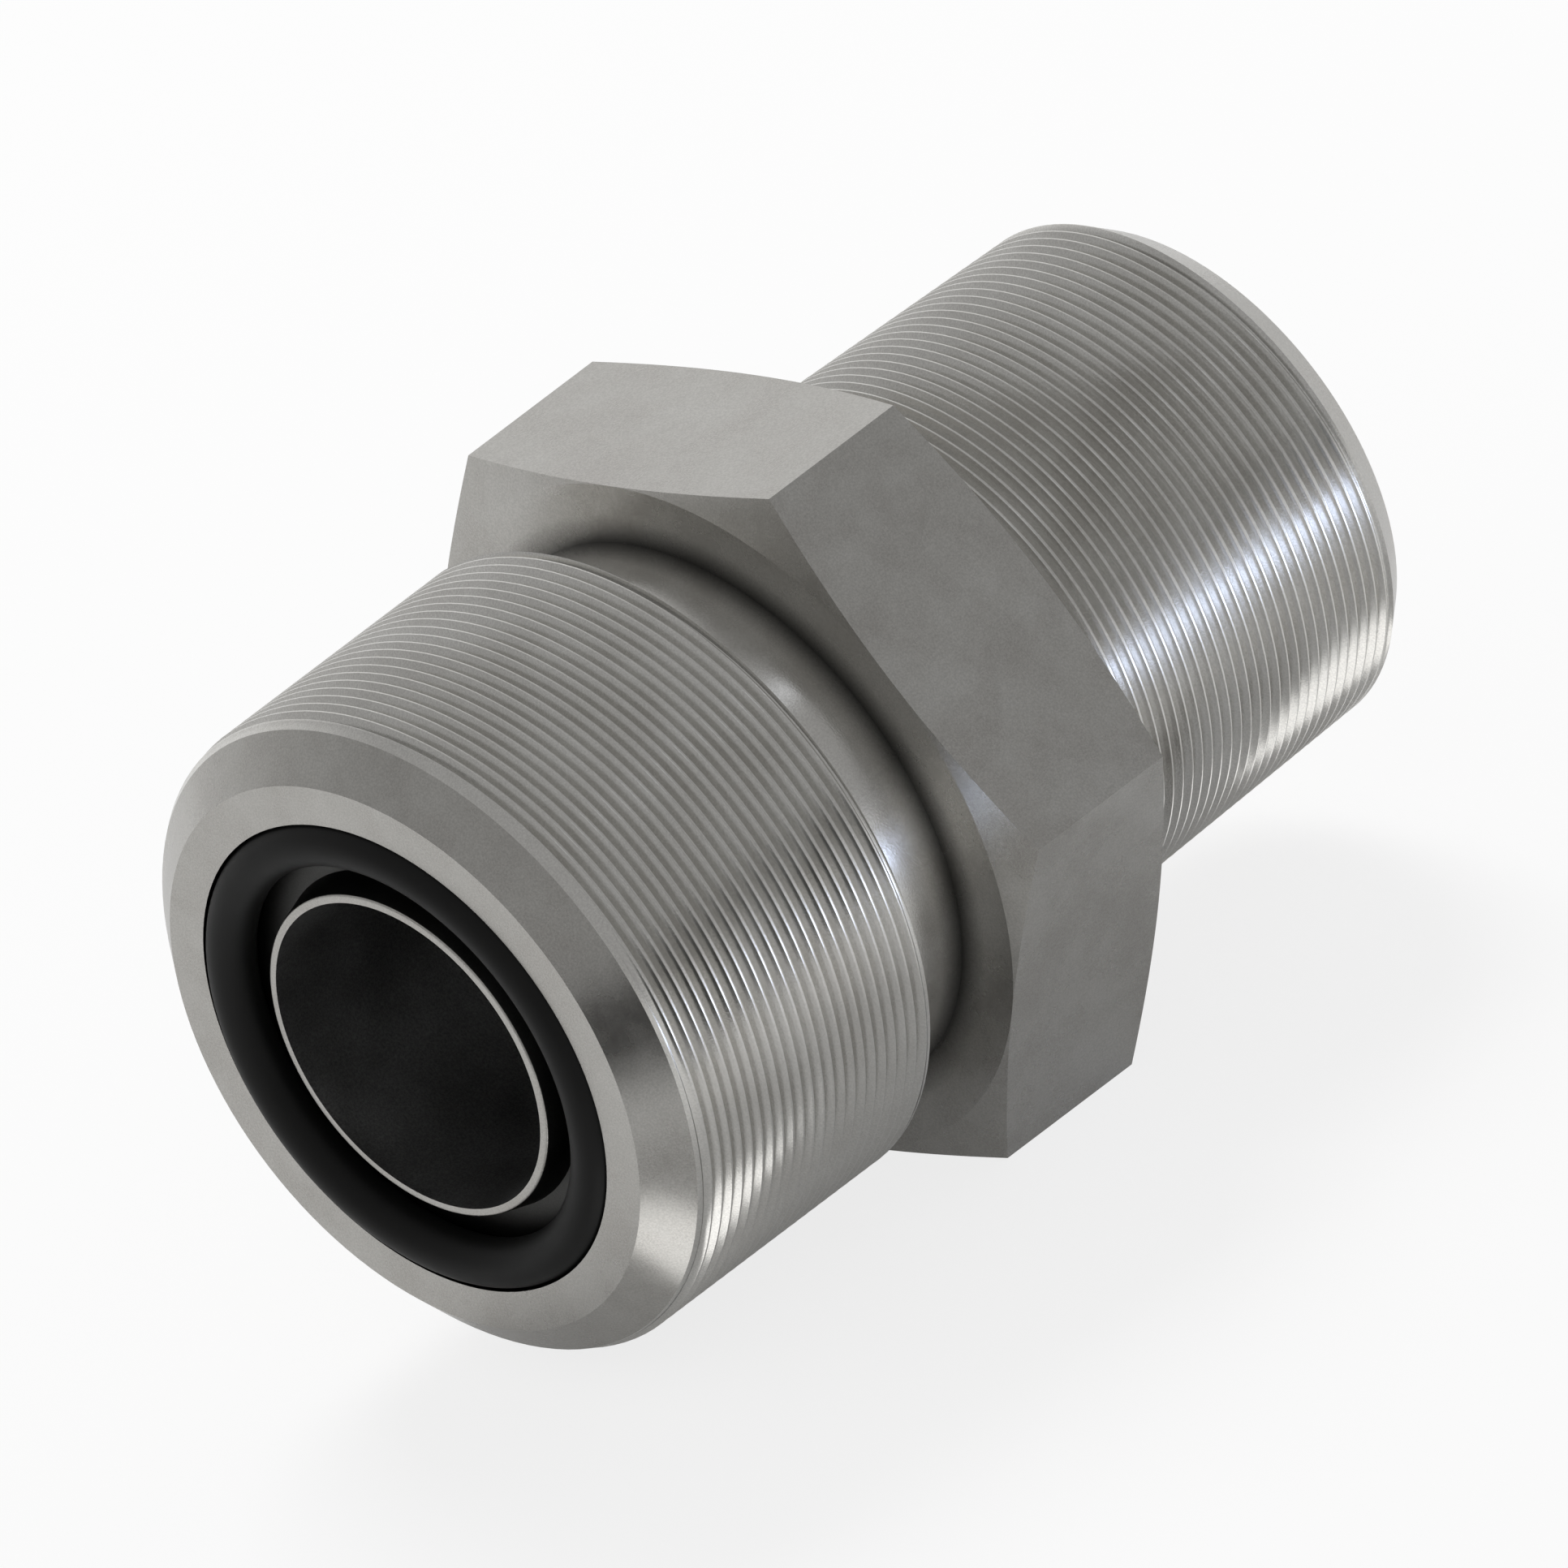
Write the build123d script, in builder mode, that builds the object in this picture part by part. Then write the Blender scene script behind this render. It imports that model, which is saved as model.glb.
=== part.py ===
from build123d import *
from math import radians, tan
import os

os.makedirs("parts", exist_ok=True)

# A straight male fitting: an O-ring face seal thread at one end, a tapered
# pipe thread at the other, and a hexagon between them for the spanner.
# It lies on one flat of the hexagon, its axis level and along X, with the
# sealing face towards -X. All sizes are in millimetres, and every place
# along the axis is measured from the sealing face.

# Straight thread of the face seal end. It is the size that the rest of this
# end is laid out from, inwards to the bore.
thread_diameter = 25.40
thread_start_chamfer = 1.53
thread_start_drop = 1.78
thread_end = 13.12

# Flat land of the sealing face, between the thread's chamfer and the groove
face_land = 1.545

# Rubber ring, and the groove that it is pressed into
ring_section = 1.78
ring_side_clearance = 0.015
ring_inner_gap = 0.80
groove_depth = 1.35

# Thin lip between the groove and the bore, wider at its foot than at its tip
lip_flare = 0.31
lip_wall = 0.33
lip_setback = 0.16
lip_edge_radius = 0.10

# Relief and neck turned behind the straight thread
relief_depth = 1.75
relief_flank_angle = 30.0
neck_length = 3.65

# Hexagon, whose flats stand a little above the thread
hex_step = 0.60
hex_length = 7.65
hex_chamfer_angle = 16.0

# Tapered pipe end
pipe_wall = 4.47
pipe_length = 16.88
pipe_taper = 1 / 16
pipe_end_chamfer = 1.13
pipe_end_drop = 0.845
bore_end_chamfer = 0.40

# Radii worked out from the sizes above
thread_radius = thread_diameter / 2
face_radius = thread_radius - thread_start_drop
groove_radius = face_radius - face_land
ring_mean_radius = groove_radius - ring_side_clearance - ring_section / 2
lip_base_radius = ring_mean_radius - ring_section / 2 - ring_inner_gap
lip_radius = lip_base_radius - lip_flare
bore_radius = lip_radius - lip_wall
neck_radius = thread_radius - relief_depth
flats_radius = thread_radius + hex_step
pipe_radius = bore_radius + pipe_wall

# Places along the axis
relief_flank = relief_depth * tan(radians(relief_flank_angle))
hex_start = thread_end + neck_length
hex_end = hex_start + hex_length
body_length = hex_end + pipe_length
pipe_chamfer_start = body_length - pipe_end_chamfer
pipe_small_radius = pipe_radius - (pipe_chamfer_start - hex_end) * pipe_taper / 2
pipe_end_radius = pipe_small_radius - pipe_end_drop
ring_proud = ring_section - groove_depth

# The sealing face stands so that the middle of the whole fitting, ring
# included, is over the origin
face_x = (ring_proud - body_length) / 2
axis_height = flats_radius

# In this plane x runs along the fitting's axis and y is the radius
section_plane = Plane(
    origin=(face_x, 0, axis_height),
    x_dir=(1, 0, 0),
    z_dir=(0, -1, 0),
)
turning_axis = Axis((face_x, 0, axis_height), (1, 0, 0))
hex_plane = Plane(
    origin=(face_x + hex_start, 0, axis_height),
    x_dir=(0, 1, 0),
    z_dir=(1, 0, 0),
)

# Body: one piece, turned and bored from hexagon bar
with BuildPart() as fitting_body:
    # The bar, with a flat underneath
    with BuildSketch(hex_plane):
        RegularPolygon(radius=flats_radius, side_count=6, major_radius=False)
    extrude(amount=hex_length)

    # Both faces of the hexagon are turned to shallow cones, which take its
    # corners off. The cones meet outside the bar, half way along it.
    hex_middle = hex_start + hex_length / 2
    cone_reach = flats_radius + hex_length / 2 / tan(radians(hex_chamfer_angle))
    with BuildSketch(section_plane):
        with BuildLine():
            Polyline(
                (hex_start, 0),
                (hex_start, flats_radius),
                (hex_middle, cone_reach),
                (hex_end, flats_radius),
                (hex_end, 0),
                close=True,
            )
        make_face()
    revolve(axis=turning_axis, mode=Mode.INTERSECT)

    # Outside of the two ends: sealing face, straight thread, relief and
    # neck, then the tapered pipe end beyond the hexagon
    with BuildSketch(section_plane):
        with BuildLine():
            Polyline(
                (0, 0),
                (0, face_radius),
                (thread_start_chamfer, thread_radius),
                (thread_end, thread_radius),
                (thread_end + relief_flank, neck_radius),
                (hex_end, neck_radius),
                (hex_end, pipe_radius),
                (pipe_chamfer_start, pipe_small_radius),
                (body_length, pipe_end_radius),
                (body_length, 0),
                close=True,
            )
        make_face()
    revolve(axis=turning_axis)

    # Inside: the O-ring groove, the thin lip between the groove and the
    # bore, set back from the face, and the bore right through
    lip_edge = lip_setback + lip_edge_radius
    with BuildSketch(section_plane):
        with BuildLine():
            Polyline(
                (lip_setback, lip_radius - lip_edge_radius),
                (lip_setback, bore_radius),
                (body_length - bore_end_chamfer, bore_radius),
                (body_length, bore_radius + bore_end_chamfer),
                (body_length, 0),
                (0, 0),
                (0, groove_radius),
                (groove_depth, groove_radius),
                (groove_depth, lip_base_radius),
                (lip_edge, lip_radius),
            )
            RadiusArc(
                (lip_edge, lip_radius),
                (lip_setback, lip_radius - lip_edge_radius),
                lip_edge_radius,
            )
        make_face()
    revolve(axis=turning_axis, mode=Mode.SUBTRACT)

fitting_body.part.label = "fitting_body"
export_step(fitting_body.part, "parts/fitting_body.step")

# O-ring: rubber, pressed into the groove against its outer wall, standing
# on the groove's floor and proud of the sealing face
with BuildPart() as o_ring:
    with BuildSketch(section_plane):
        with Locations((ring_section / 2 - ring_proud, ring_mean_radius)):
            Circle(ring_section / 2)
    revolve(axis=turning_axis)

o_ring.part.label = "o_ring"
export_step(o_ring.part, "parts/o_ring.step")
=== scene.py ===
import math
import bpy
from mathutils import Matrix, Vector


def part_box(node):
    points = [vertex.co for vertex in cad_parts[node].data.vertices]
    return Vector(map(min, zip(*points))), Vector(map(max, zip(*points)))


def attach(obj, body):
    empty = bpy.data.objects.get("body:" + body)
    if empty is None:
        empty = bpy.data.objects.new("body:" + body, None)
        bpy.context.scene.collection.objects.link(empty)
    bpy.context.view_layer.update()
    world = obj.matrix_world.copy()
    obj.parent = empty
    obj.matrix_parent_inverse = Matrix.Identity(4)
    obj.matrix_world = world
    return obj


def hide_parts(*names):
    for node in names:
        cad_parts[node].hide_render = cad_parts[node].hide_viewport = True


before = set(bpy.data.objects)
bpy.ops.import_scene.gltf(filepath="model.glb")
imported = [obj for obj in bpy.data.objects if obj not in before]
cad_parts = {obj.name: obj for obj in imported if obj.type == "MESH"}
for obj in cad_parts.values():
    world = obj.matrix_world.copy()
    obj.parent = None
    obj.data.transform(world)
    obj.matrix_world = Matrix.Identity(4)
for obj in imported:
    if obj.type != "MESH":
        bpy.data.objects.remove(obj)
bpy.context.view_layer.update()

# Camera. The photograph is a parallel view, so the camera is orthographic.
# It looks at the sealing end from the left, a little from above, and is
# rolled, because the fitting here lies level on one flat of its hexagon.
MM = 0.001
PHOTO_SIZE = 1932
PIXELS_PER_MM = 35.54
FACE_CENTRE_PX = (499, 1304)
TO_CAMERA = Vector((-0.5525, -0.7275, 0.4068)).normalized()
PICTURE_RIGHT = Vector((0.6650, -0.6789, -0.3110)).normalized()
CAMERA_DISTANCE = 0.30


def turned(right, up, out):
    """Rotation that sends X, Y and Z along the three given directions."""
    return Matrix((right, up, out)).transposed().to_euler()


body_low, body_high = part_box("fitting_body")
face_x = body_low.x
axis_height = (body_low.z + body_high.z) / 2
picture_up = TO_CAMERA.cross(PICTURE_RIGHT).normalized()
picture_right = picture_up.cross(TO_CAMERA)
middle_px = PHOTO_SIZE / 2
view_centre = (
    Vector((face_x, 0, axis_height))
    + picture_right * (middle_px - FACE_CENTRE_PX[0]) / PIXELS_PER_MM * MM
    + picture_up * (FACE_CENTRE_PX[1] - middle_px) / PIXELS_PER_MM * MM
)
bpy.ops.object.select_all(action="DESELECT")
bpy.ops.object.camera_add(location=view_centre + TO_CAMERA * CAMERA_DISTANCE)
camera = bpy.context.object
camera.name = "camera"
camera.rotation_euler = turned(picture_right, picture_up, TO_CAMERA)
camera.data.type = "ORTHO"
camera.data.ortho_scale = PHOTO_SIZE / PIXELS_PER_MM * MM
camera.data.clip_start = 0.01
camera.data.clip_end = 10
bpy.context.scene.camera = camera

# Fitting body. One piece of steel, turned and bored from hexagon bar. It has
# a straight thread and an O-ring groove at one end, a tapered pipe thread at
# the other, and a neck and the hexagon between them.
STEPS = 120
FLATS = 6
body_length = body_high.x - body_low.x
flats_radius = (body_high.z - body_low.z) / 2

# Straight thread, its end chamfer and the sealing face, from which all places
# along the axis are measured
thread_radius = 12.70 * MM
face_radius = 10.92 * MM
chamfer_end = 1.30 * MM
chamfer_radius = 12.43 * MM
first_crest = 1.70 * MM
thread_end = 13.12 * MM
thread_pitch = 0.5305 * MM

# O-ring groove, the thin lip inside it, and the bore
groove_radius = 9.375 * MM
groove_depth = 1.35 * MM
lip_base_radius = 6.78 * MM
lip_radius = 6.47 * MM
lip_setback = 0.16 * MM
lip_edge = 0.10 * MM
lip_edge_half = lip_edge * 0.5
lip_edge_sliver = lip_edge * 0.134
bore_radius = 6.14 * MM
bore_end_chamfer = 0.40 * MM

# Neck and hexagon, whose faces are turned to shallow cones
neck_radius = 10.95 * MM
relief_flank = 1.01 * MM
hex_start = 16.77 * MM
hex_end = 24.42 * MM
hex_chamfer = math.radians(16)
blank_radius = 16.5 * MM
cone_length = (blank_radius - flats_radius) * math.tan(hex_chamfer)

# Tapered pipe end
pipe_radius = 10.61 * MM
pipe_taper = 1 / 32
pipe_pitch = 0.524 * MM
pipe_last_crest = 39.745 * MM
pipe_end_chamfer = 1.13 * MM
pipe_end_drop = 0.845 * MM
pipe_chamfer_start = body_length - pipe_end_chamfer
pipe_small_radius = pipe_radius - (pipe_chamfer_start - hex_end) * pipe_taper
pipe_end_radius = pipe_small_radius - pipe_end_drop

# Points nearer than these, in metres, are one: within a piece, and at a seam
MERGE = 1e-7
SEAM_MERGE = 1e-6


def draw_outline(name, points):
    """A line of edges through points given as (place along the axis, radius)."""
    bpy.ops.mesh.primitive_circle_add(vertices=3, radius=MM)
    line = bpy.context.object
    line.name = name
    bpy.ops.object.mode_set(mode="EDIT")
    bpy.ops.mesh.select_all(action="SELECT")
    bpy.ops.mesh.merge(type="CENTER")
    bpy.ops.transform.translate(value=(points[0][0], 0, points[0][1]))
    for here, there in zip(points, points[1:]):
        step = (there[0] - here[0], 0, there[1] - here[1])
        bpy.ops.mesh.extrude_vertices_move(TRANSFORM_OT_translate={"value": step})
    bpy.ops.object.mode_set(mode="OBJECT")
    return line


def turn_on_lathe(outline, crease):
    """Spins the outline once round the X axis. Edges over the crease angle stay sharp."""
    bpy.ops.object.mode_set(mode="EDIT")
    bpy.ops.mesh.select_all(action="SELECT")
    bpy.ops.mesh.spin(steps=STEPS, angle=math.tau, center=(0, 0, 0), axis=(1, 0, 0))
    bpy.ops.mesh.select_all(action="SELECT")
    bpy.ops.mesh.remove_doubles(threshold=MERGE)
    bpy.ops.object.mode_set(mode="OBJECT")
    bpy.ops.object.shade_smooth_by_angle(angle=math.radians(crease))


def thread_form(pitch):
    """One pitch of a 60 degree thread, as (place along the axis, depth below the crest)."""
    lean = math.radians(60)
    half_flat = pitch / 16
    crest_round = pitch * 0.05
    root_round = pitch * 0.12
    crest_centre = half_flat - crest_round * math.tan(lean / 2)
    root_edge = pitch / 2 - root_round * math.sin(lean)
    depth = (root_edge - half_flat) * math.tan(lean) + root_round * (1 - math.cos(lean))
    half = []
    for turn in (0, lean / 3, lean * 2 / 3, lean):
        along = crest_centre + crest_round * math.sin(turn)
        half.append((along, crest_round * (1 - math.cos(turn))))
    for turn in (lean, lean / 2, 0):
        along = pitch / 2 - root_round * math.sin(turn)
        half.append((along, depth - root_round * (1 - math.cos(turn))))
    return half + [(pitch - along, down) for along, down in reversed(half[:-1])]


def cut_thread(name, pitch, crest, blank_radius_at, start, end, run_in, run_out):
    """A tube of right-hand thread between two plain circles of the blank.

    The blank stays plain for half of the run-in, and then the groove deepens.
    """
    first = crest - math.ceil((crest - start) / pitch + 1) * pitch
    turns = math.ceil((end - first) / pitch) + 1
    mean_radius = blank_radius_at((start + end) / 2)
    form = [(along, mean_radius - depth) for along, depth in thread_form(pitch)]
    tube = draw_outline(name, [*form, (form[0][0] + pitch, mean_radius)])
    screw = tube.modifiers.new("thread", "SCREW")
    screw.axis = "X"
    screw.steps = STEPS
    screw.render_steps = STEPS
    screw.iterations = turns
    screw.screw_offset = pitch
    screw.use_merge_vertices = True
    screw.merge_threshold = MERGE
    bpy.ops.object.modifier_apply(modifier="thread")
    for vertex in tube.data.vertices:
        x, y, z = vertex.co
        radius = math.hypot(y, z)
        depth = mean_radius - radius
        x = min(max(x + first, start), end)
        growing = (x - start) / run_in - 0.5
        fading = (end - x) / run_out
        depth *= max(0, min(1, growing, fading))
        scale = (blank_radius_at(x) - depth) / radius
        vertex.co = (x, y * scale, z * scale)
    bpy.ops.object.shade_smooth()
    return tube


def straight_blank(x):
    """Radius at the crests of the straight end, with its short lead-in."""
    lead = (x - chamfer_end) / (first_crest - chamfer_end)
    return chamfer_radius + (thread_radius - chamfer_radius) * min(1, lead)


def pipe_blank(x):
    """Radius at the crests of the tapered pipe end."""
    return pipe_radius - (x - hex_end) * pipe_taper


# Outline of both ends and the inside, and outline of the waist between them
ends = [
    (chamfer_end, chamfer_radius),
    (0, face_radius),
    (0, groove_radius),
    (groove_depth, groove_radius),
    (groove_depth, lip_base_radius),
    (lip_setback + lip_edge, lip_radius),
    (lip_setback + lip_edge_half, lip_radius - lip_edge_sliver),
    (lip_setback + lip_edge_sliver, lip_radius - lip_edge_half),
    (lip_setback, lip_radius - lip_edge),
    (lip_setback, bore_radius),
    (body_length - bore_end_chamfer, bore_radius),
    (body_length, bore_radius + bore_end_chamfer),
    (body_length, pipe_end_radius),
    (pipe_chamfer_start, pipe_small_radius),
]
middle = [
    (thread_end, thread_radius),
    (thread_end + relief_flank, neck_radius),
    (hex_start, neck_radius),
    (hex_start, flats_radius),
    (hex_start + cone_length, blank_radius),
    (hex_end - cone_length, blank_radius),
    (hex_end, flats_radius),
    (hex_end, pipe_radius),
]

# Edges sharper than these angles, in degrees, stay sharp
ENDS_CREASE = 32
WAIST_CREASE = 12
bpy.ops.object.select_all(action="DESELECT")
fitting = draw_outline("fitting_steel", ends)
turn_on_lathe(fitting, ENDS_CREASE)
waist = draw_outline("waist", middle)
turn_on_lathe(waist, WAIST_CREASE)
bpy.ops.object.mode_set(mode="EDIT")
for flat in range(FLATS):
    bpy.ops.mesh.select_all(action="SELECT")
    angle = math.radians(360 / FLATS * flat)
    outward = (0, math.sin(angle), math.cos(angle))
    bpy.ops.mesh.bisect(
        plane_co=Vector(outward) * flats_radius,
        plane_no=outward,
        use_fill=True,
        clear_outer=True,
        threshold=MERGE,
    )
bpy.ops.object.mode_set(mode="OBJECT")
bpy.ops.object.shade_smooth_by_angle(angle=math.radians(WAIST_CREASE))

# Both crests are measured on the side that faces the camera, this share of a
# turn on from the top, where the thread's outline is drawn
CREST_TURN = 60.8 / 360
front_thread = cut_thread(
    "front_thread",
    thread_pitch,
    first_crest - thread_pitch * CREST_TURN,
    straight_blank,
    chamfer_end,
    thread_end,
    run_in=0.30 * MM,
    run_out=0.15 * MM,
)
pipe_thread = cut_thread(
    "pipe_thread",
    pipe_pitch,
    pipe_last_crest - pipe_pitch * CREST_TURN,
    pipe_blank,
    hex_end,
    pipe_chamfer_start,
    run_in=0.15 * MM,
    run_out=0.30 * MM,
)
for piece in (fitting, waist, front_thread, pipe_thread):
    piece.select_set(True)
bpy.context.view_layer.objects.active = fitting
bpy.ops.object.join()
bpy.ops.object.mode_set(mode="EDIT")
bpy.ops.mesh.select_all(action="SELECT")
bpy.ops.mesh.remove_doubles(threshold=SEAM_MERGE)
bpy.ops.mesh.dissolve_degenerate(threshold=SEAM_MERGE)
bpy.ops.mesh.normals_make_consistent(inside=False)
bpy.ops.mesh.select_all(action="DESELECT")
bpy.ops.object.mode_set(mode="OBJECT")

# The threads meet the rest of the body in sharp edges
SEAM_WIDTH = 0.002 * MM
for edge in fitting.data.edges:
    places = [fitting.data.vertices[number].co.x for number in edge.vertices]
    for seam in (chamfer_end, thread_end, hex_end, pipe_chamfer_start):
        if max(abs(x - seam) for x in places) < SEAM_WIDTH:
            edge.use_edge_sharp = True
fitting.location = (face_x, 0, axis_height)
bpy.ops.object.transform_apply(location=True, rotation=True, scale=True)

# How much warmer the dark patches are, how far the painted shade reaches from the corner
# between the neck and the hexagon, what share of the colour it leaves there, and how
# far the roughness wanders
WARMTH = 0.12
CORNER_SHADE_REACH = 1.1 * MM
CORNER_SHADE = 0.30
SHEEN_SPREAD = 0.04


def steel_material(name, colour, roughness, clouds, speckle):
    """Steel with cloudy patches, a fine speckle, and painted shade in the corner behind the neck.
    """
    material = bpy.data.materials.new(name)
    material.use_nodes = True
    nodes = material.node_tree.nodes
    links = material.node_tree.links
    shader = nodes["Principled BSDF"]
    shader.inputs["Metallic"].default_value = 1
    place = nodes.new("ShaderNodeTexCoord")

    cloud = nodes.new("ShaderNodeTexNoise")
    cloud.inputs["Scale"].default_value = 330
    cloud.inputs["Detail"].default_value = 4
    cloud.inputs["Roughness"].default_value = 0.6
    links.new(place.outputs["Object"], cloud.inputs["Vector"])
    patches = nodes.new("ShaderNodeMapRange")
    patches.inputs["From Min"].default_value = 0.35
    patches.inputs["From Max"].default_value = 0.65
    links.new(cloud.outputs["Fac"], patches.inputs["Value"])
    tint = nodes.new("ShaderNodeMix")
    tint.data_type = "RGBA"
    red, green, blue = colour
    dark = 1 - clouds
    warm = 1 + clouds * WARMTH
    pale = 1 + clouds
    tint.inputs["A"].default_value = (red * dark * warm, green * dark, blue * dark / warm, 1)
    tint.inputs["B"].default_value = (red * pale, green * pale, blue * pale, 1)
    links.new(patches.outputs["Result"], tint.inputs["Factor"])

    grain = nodes.new("ShaderNodeTexNoise")
    grain.inputs["Scale"].default_value = 14000
    grain.inputs["Detail"].default_value = 1
    links.new(place.outputs["Object"], grain.inputs["Vector"])
    dots = nodes.new("ShaderNodeMapRange")
    dots.inputs["From Min"].default_value = 0.30
    dots.inputs["From Max"].default_value = 0.70
    dots.inputs["To Min"].default_value = 1 - speckle
    dots.inputs["To Max"].default_value = 1 + speckle
    links.new(grain.outputs["Fac"], dots.inputs["Value"])

    # Distance from the round corner between the neck and the hexagon, where shade is painted into
    # the colour
    from_corner = nodes.new("ShaderNodeVectorMath")
    from_corner.operation = "SUBTRACT"
    from_corner.inputs[1].default_value = (face_x + hex_start, 0, axis_height)
    links.new(place.outputs["Object"], from_corner.inputs[0])
    parts = nodes.new("ShaderNodeSeparateXYZ")
    links.new(from_corner.outputs["Vector"], parts.inputs["Vector"])
    across = nodes.new("ShaderNodeCombineXYZ")
    links.new(parts.outputs["Y"], across.inputs["Y"])
    links.new(parts.outputs["Z"], across.inputs["Z"])
    radius = nodes.new("ShaderNodeVectorMath")
    radius.operation = "LENGTH"
    links.new(across.outputs["Vector"], radius.inputs[0])
    rise = nodes.new("ShaderNodeMath")
    rise.operation = "SUBTRACT"
    rise.inputs[1].default_value = neck_radius
    links.new(radius.outputs["Value"], rise.inputs[0])
    aside = nodes.new("ShaderNodeCombineXYZ")
    links.new(parts.outputs["X"], aside.inputs["X"])
    links.new(rise.outputs["Value"], aside.inputs["Y"])
    distance = nodes.new("ShaderNodeVectorMath")
    distance.operation = "LENGTH"
    links.new(aside.outputs["Vector"], distance.inputs[0])
    # Painted shade: the colour darkens towards the corner, down to CORNER_SHADE of itself
    painted_corner_shade = nodes.new("ShaderNodeMapRange")
    painted_corner_shade.inputs["From Max"].default_value = CORNER_SHADE_REACH
    painted_corner_shade.inputs["To Min"].default_value = CORNER_SHADE
    links.new(distance.outputs["Value"], painted_corner_shade.inputs["Value"])
    # The speckle times the painted corner shade
    speckle_and_shade = nodes.new("ShaderNodeMath")
    speckle_and_shade.operation = "MULTIPLY"
    links.new(dots.outputs["Result"], speckle_and_shade.inputs[0])
    links.new(painted_corner_shade.outputs["Result"], speckle_and_shade.inputs[1])
    finish = nodes.new("ShaderNodeVectorMath")
    finish.operation = "SCALE"
    links.new(tint.outputs["Result"], finish.inputs[0])
    links.new(speckle_and_shade.outputs["Value"], finish.inputs["Scale"])
    links.new(finish.outputs["Vector"], shader.inputs["Base Color"])

    sheen = nodes.new("ShaderNodeMapRange")
    sheen.inputs["To Min"].default_value = roughness - SHEEN_SPREAD
    sheen.inputs["To Max"].default_value = roughness + SHEEN_SPREAD
    links.new(patches.outputs["Result"], sheen.inputs["Value"])
    links.new(sheen.outputs["Result"], shader.inputs["Roughness"])
    grit = nodes.new("ShaderNodeBump")
    grit.inputs["Strength"].default_value = 0.10
    grit.inputs["Distance"].default_value = 0.00002
    links.new(grain.outputs["Fac"], grit.inputs["Height"])
    links.new(grit.outputs["Normal"], shader.inputs["Normal"])
    return material


# Satin where the bar and the turned faces show. The threads and the neck are brighter, painted
# light for the light that bounces between the thread turns, and the groove and the bore are dark,
# painted shade of those hollows
steels = (
    steel_material("satin_steel", (0.420, 0.412, 0.392), roughness=0.28, clouds=0.08, speckle=0.10),
    # Brighter steel on the threads and the neck: painted light for the light bounced between the
    # turns
    steel_material("thread_steel_painted_light", (0.588, 0.58, 0.556), roughness=0.22, clouds=0.05, speckle=0.08),
    # Near-black steel in the O-ring groove: painted shade of the groove
    steel_material("groove_steel_painted_shade", (0.06, 0.06, 0.058), roughness=0.40, clouds=0.05, speckle=0.10),
    # Darker steel in the bore: painted shade of the bore
    steel_material("bore_steel_painted_shade", (0.31, 0.31, 0.31), roughness=0.42, clouds=0.05, speckle=0.25),
)
SATIN, BRIGHTENED, GROOVE, BORE = range(4)
HAIR = 0.01 * MM
GROOVE_FROM = 0.2 * MM
GROOVE_TO = 2 * MM
fitting.data.materials.clear()
for steel in steels:
    fitting.data.materials.append(steel)
for polygon in fitting.data.polygons:
    centre = polygon.center
    radius = math.hypot(centre.y, centre.z - axis_height)
    along = centre.x - face_x
    in_bore = along > lip_setback + HAIR and radius < bore_radius + HAIR
    between_walls = lip_radius - lip_edge / 2 < radius < groove_radius + HAIR
    in_groove = between_walls and GROOVE_FROM < along < GROOVE_TO
    on_front = chamfer_end < along < hex_start - HAIR
    on_pipe = hex_end + HAIR < along < pipe_chamfer_start
    polygon.material_index = SATIN
    # The bore and the groove take the steels with painted shade, the threads and the neck the steel
    # with painted light
    if in_bore:
        polygon.material_index = BORE
    elif in_groove:
        polygon.material_index = GROOVE
    elif on_front or on_pipe:
        polygon.material_index = BRIGHTENED
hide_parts("fitting_body")
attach(fitting, "root")

# O-ring. Black rubber, round in section, pressed into the groove of the
# sealing face and standing a little proud of it.
ring_low, ring_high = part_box("o_ring")
ring_section = (ring_high.x - ring_low.x) / 2
ring_radius = (ring_high.y - ring_low.y) / 2 - ring_section
bpy.ops.object.select_all(action="DESELECT")
bpy.ops.mesh.primitive_torus_add(
    major_segments=144,
    minor_segments=32,
    major_radius=ring_radius,
    minor_radius=ring_section,
    location=(ring_low.x + ring_section, 0, axis_height),
    rotation=(0, math.radians(90), 0),
)
ring = bpy.context.object
ring.name = "rubber_ring"
bpy.ops.object.transform_apply(location=True, rotation=True, scale=True)
bpy.ops.object.shade_smooth()
rubber = bpy.data.materials.new("black_rubber")
rubber.use_nodes = True
nodes = rubber.node_tree.nodes
links = rubber.node_tree.links
shader = nodes["Principled BSDF"]
shader.inputs["Specular IOR Level"].default_value = 0.18
place = nodes.new("ShaderNodeTexCoord")
bloom = nodes.new("ShaderNodeTexNoise")
bloom.inputs["Scale"].default_value = 700
bloom.inputs["Detail"].default_value = 4
links.new(place.outputs["Object"], bloom.inputs["Vector"])
black = nodes.new("ShaderNodeMix")
black.data_type = "RGBA"
black.inputs["A"].default_value = (0.005, 0.005, 0.005, 1)
black.inputs["B"].default_value = (0.009, 0.009, 0.0085, 1)
links.new(bloom.outputs["Fac"], black.inputs["Factor"])
links.new(black.outputs["Result"], shader.inputs["Base Color"])
matt = nodes.new("ShaderNodeMapRange")
matt.inputs["To Min"].default_value = 0.45
matt.inputs["To Max"].default_value = 0.60
links.new(bloom.outputs["Fac"], matt.inputs["Value"])
links.new(matt.outputs["Result"], shader.inputs["Roughness"])
ring.data.materials.append(rubber)
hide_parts("o_ring")
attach(ring, "root")

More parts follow.
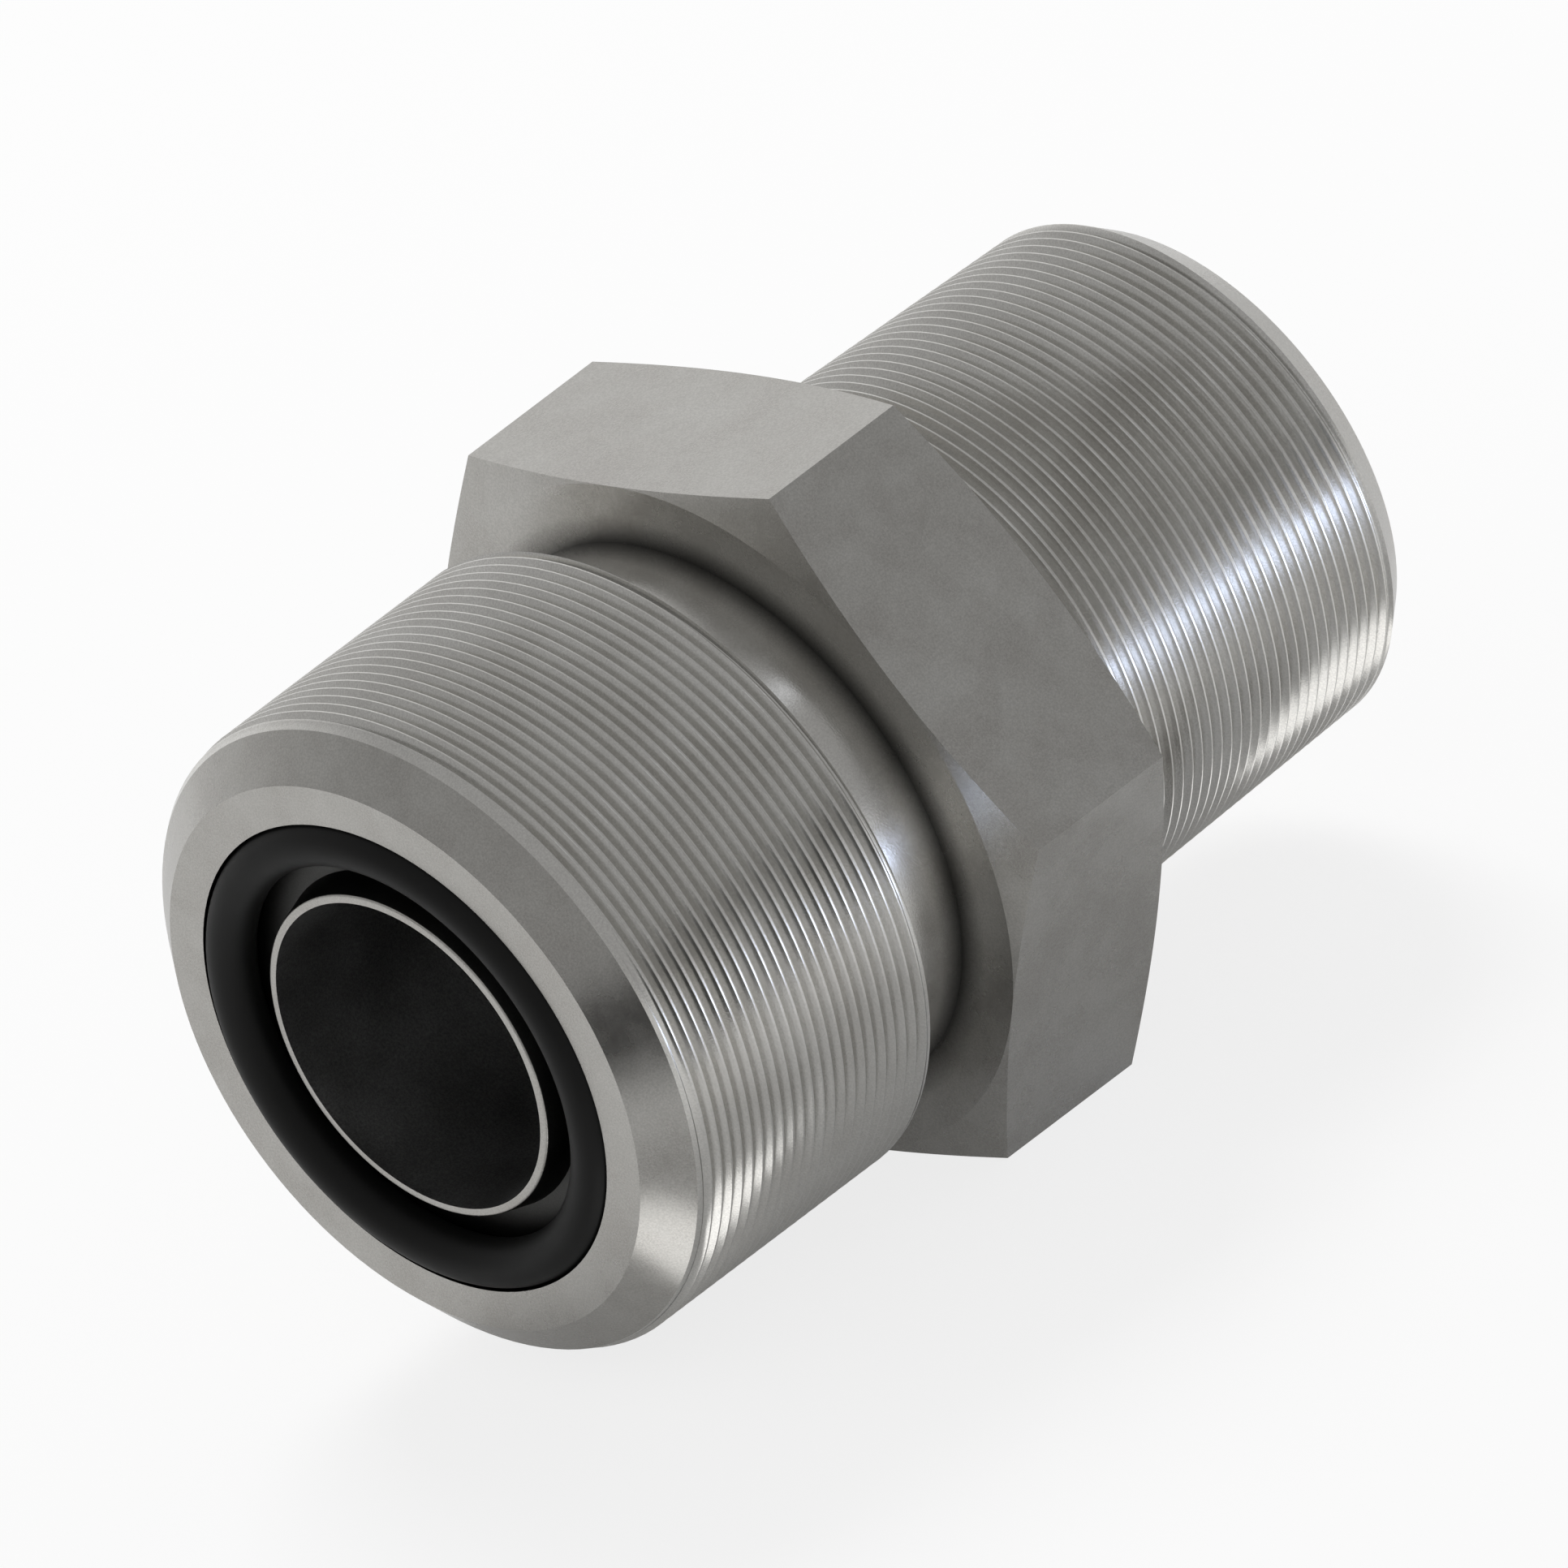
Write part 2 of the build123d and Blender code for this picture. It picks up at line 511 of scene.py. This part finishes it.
# Studio. A wide pale floor that keeps the fitting's shadow and looks white to
# the camera and, more faintly, in the metal. The light on it is soft, and a
# pale room stands behind.
FLOOR_SIZE = 4
WHITE_TO_CAMERA = 0.80
WHITE_TO_MIRRORS = 0.15
bpy.ops.object.select_all(action="DESELECT")
bpy.ops.mesh.primitive_plane_add(size=FLOOR_SIZE, location=(0, 0, 0))
floor = bpy.context.object
floor.name = "floor"
pale = bpy.data.materials.new("pale_floor")
pale.use_nodes = True
nodes = pale.node_tree.nodes
links = pale.node_tree.links
shader = nodes["Principled BSDF"]
shader.inputs["Base Color"].default_value = (0.9, 0.9, 0.9, 1)
shader.inputs["Roughness"].default_value = 0.9
shader.inputs["Specular IOR Level"].default_value = 0
white = nodes.new("ShaderNodeEmission")
white.inputs["Color"].default_value = (1, 1, 1, 1)
white.inputs["Strength"].default_value = 1
ray = nodes.new("ShaderNodeLightPath")
mirrors = nodes.new("ShaderNodeMath")
mirrors.operation = "MAXIMUM"
links.new(ray.outputs["Is Glossy Ray"], mirrors.inputs[0])
links.new(ray.outputs["Is Transmission Ray"], mirrors.inputs[1])
in_mirrors = nodes.new("ShaderNodeMath")
in_mirrors.operation = "MULTIPLY"
in_mirrors.inputs[1].default_value = WHITE_TO_MIRRORS
links.new(mirrors.outputs["Value"], in_mirrors.inputs[0])
share = nodes.new("ShaderNodeMath")
share.operation = "MULTIPLY_ADD"
share.inputs[1].default_value = WHITE_TO_CAMERA
links.new(ray.outputs["Is Camera Ray"], share.inputs[0])
links.new(in_mirrors.outputs["Value"], share.inputs[2])
blend = nodes.new("ShaderNodeMixShader")
links.new(share.outputs["Value"], blend.inputs["Fac"])
links.new(shader.outputs["BSDF"], blend.inputs[1])
links.new(white.outputs["Emission"], blend.inputs[2])
links.new(blend.outputs["Shader"], nodes["Material Output"].inputs["Surface"])
floor.data.materials.append(pale)


def soft_lamp(name, place, aim, width, height, power, colour):
    """Rectangular lamp that shines from its place towards its aim, unseen by the camera."""
    bpy.ops.object.light_add(type="AREA", location=place)
    lamp = bpy.context.object
    lamp.name = name
    lamp.data.shape = "RECTANGLE"
    lamp.data.size = width
    lamp.data.size_y = height
    lamp.data.energy = power
    lamp.data.color = colour
    lamp.rotation_euler = (Vector(place) - Vector(aim)).to_track_quat("Z", "Y").to_euler()
    lamp.visible_camera = False
    return lamp


WHITE = (1, 1, 1)

# Low strip at the right, which draws the bright line along both threads. It
# is for the metal's sheen only, as are the two cards on the floor.
low_strip = soft_lamp(
    "low_strip",
    place=(0.0215, -0.043, 0.0030),
    aim=(0, -0.0127, 0.0143),
    width=0.055,
    height=0.005,
    power=0.0052,
    colour=(0.60, 0.71, 1.0),
)
front_card = soft_lamp(
    "front_card",
    place=(-0.0235, -0.0100, 0.0004),
    aim=(-0.0235, -0.0100, 0.01),
    width=0.006,
    height=0.004,
    power=0.000095,
    colour=WHITE,
)
rear_card = soft_lamp(
    "rear_card",
    place=(0.0130, -0.0082, 0.0004),
    aim=(0.0130, -0.0082, 0.01),
    width=0.008,
    height=0.0035,
    power=0.000105,
    colour=WHITE,
)
for sheen_only in (low_strip, front_card, rear_card):
    sheen_only.visible_diffuse = False

# Small upper panel, for the weaker line above it
soft_lamp(
    "upper_panel",
    place=(0.19, -0.18, 0.25),
    aim=(0, 0, axis_height),
    width=0.05,
    height=0.05,
    power=0.005,
    colour=(0.88, 0.92, 1.0),
)

# Overhead light from behind, for the floor and the rubber
overhead = soft_lamp(
    "overhead",
    place=(0.50, 0.60, 0.84),
    aim=(0, 0, 0),
    width=0.45,
    height=0.45,
    power=7.6,
    colour=WHITE,
)
overhead.visible_glossy = False

# Dark board, which slopes up from the floor at the left. It shows only where
# the steel mirrors it.
BOARD_FOOT = Vector((-0.045, -0.028, 0.0005))
BOARD_HEAD = Vector((-0.080, -0.043, 0.0160))
BOARD_WIDTH = 0.034
bpy.ops.mesh.primitive_plane_add(size=1, location=(BOARD_FOOT + BOARD_HEAD) / 2)
board = bpy.context.object
board.name = "dark_board"
up_slope = (BOARD_HEAD - BOARD_FOOT).normalized()
across_slope = up_slope.cross(Vector((0, 0, 1))).normalized()
board.rotation_euler = turned(across_slope, up_slope, across_slope.cross(up_slope))
board.scale = (BOARD_WIDTH, (BOARD_HEAD - BOARD_FOOT).length, 1)
board.visible_camera = False
board.visible_diffuse = False
board.visible_shadow = False
black_card = bpy.data.materials.new("black_card")
black_card.use_nodes = True
shader = black_card.node_tree.nodes["Principled BSDF"]
shader.inputs["Base Color"].default_value = (0.03, 0.03, 0.03, 1)
shader.inputs["Roughness"].default_value = 0.9
board.data.materials.append(black_card)

# The room: pale behind, towards the right, and dim in front
PALE_SIDE = Vector((0.50, 0.85, 0.20)).normalized()
DIM_LEVEL = 0.44
PALE_LEVEL = 0.97
world = bpy.data.worlds.new("studio")
bpy.context.scene.world = world
world.use_nodes = True
nodes = world.node_tree.nodes
links = world.node_tree.links
background = nodes["Background"]
background.inputs["Color"].default_value = (1, 1, 1, 1)
direction = nodes.new("ShaderNodeTexCoord")
towards = nodes.new("ShaderNodeVectorMath")
towards.operation = "DOT_PRODUCT"
towards.inputs[1].default_value = PALE_SIDE
spread = nodes.new("ShaderNodeMapRange")
spread.inputs["From Min"].default_value = 0.25
spread.inputs["From Max"].default_value = 0.95
falloff = nodes.new("ShaderNodeMath")
falloff.operation = "POWER"
falloff.inputs[1].default_value = 2
level = nodes.new("ShaderNodeMapRange")
level.inputs["To Min"].default_value = DIM_LEVEL
level.inputs["To Max"].default_value = PALE_LEVEL
links.new(direction.outputs["Generated"], towards.inputs[0])
links.new(towards.outputs["Value"], spread.inputs["Value"])
links.new(spread.outputs["Result"], falloff.inputs[0])
links.new(falloff.outputs["Value"], level.inputs["Value"])
links.new(level.outputs["Result"], background.inputs["Strength"])

bpy.context.scene.view_settings.view_transform = "Standard"
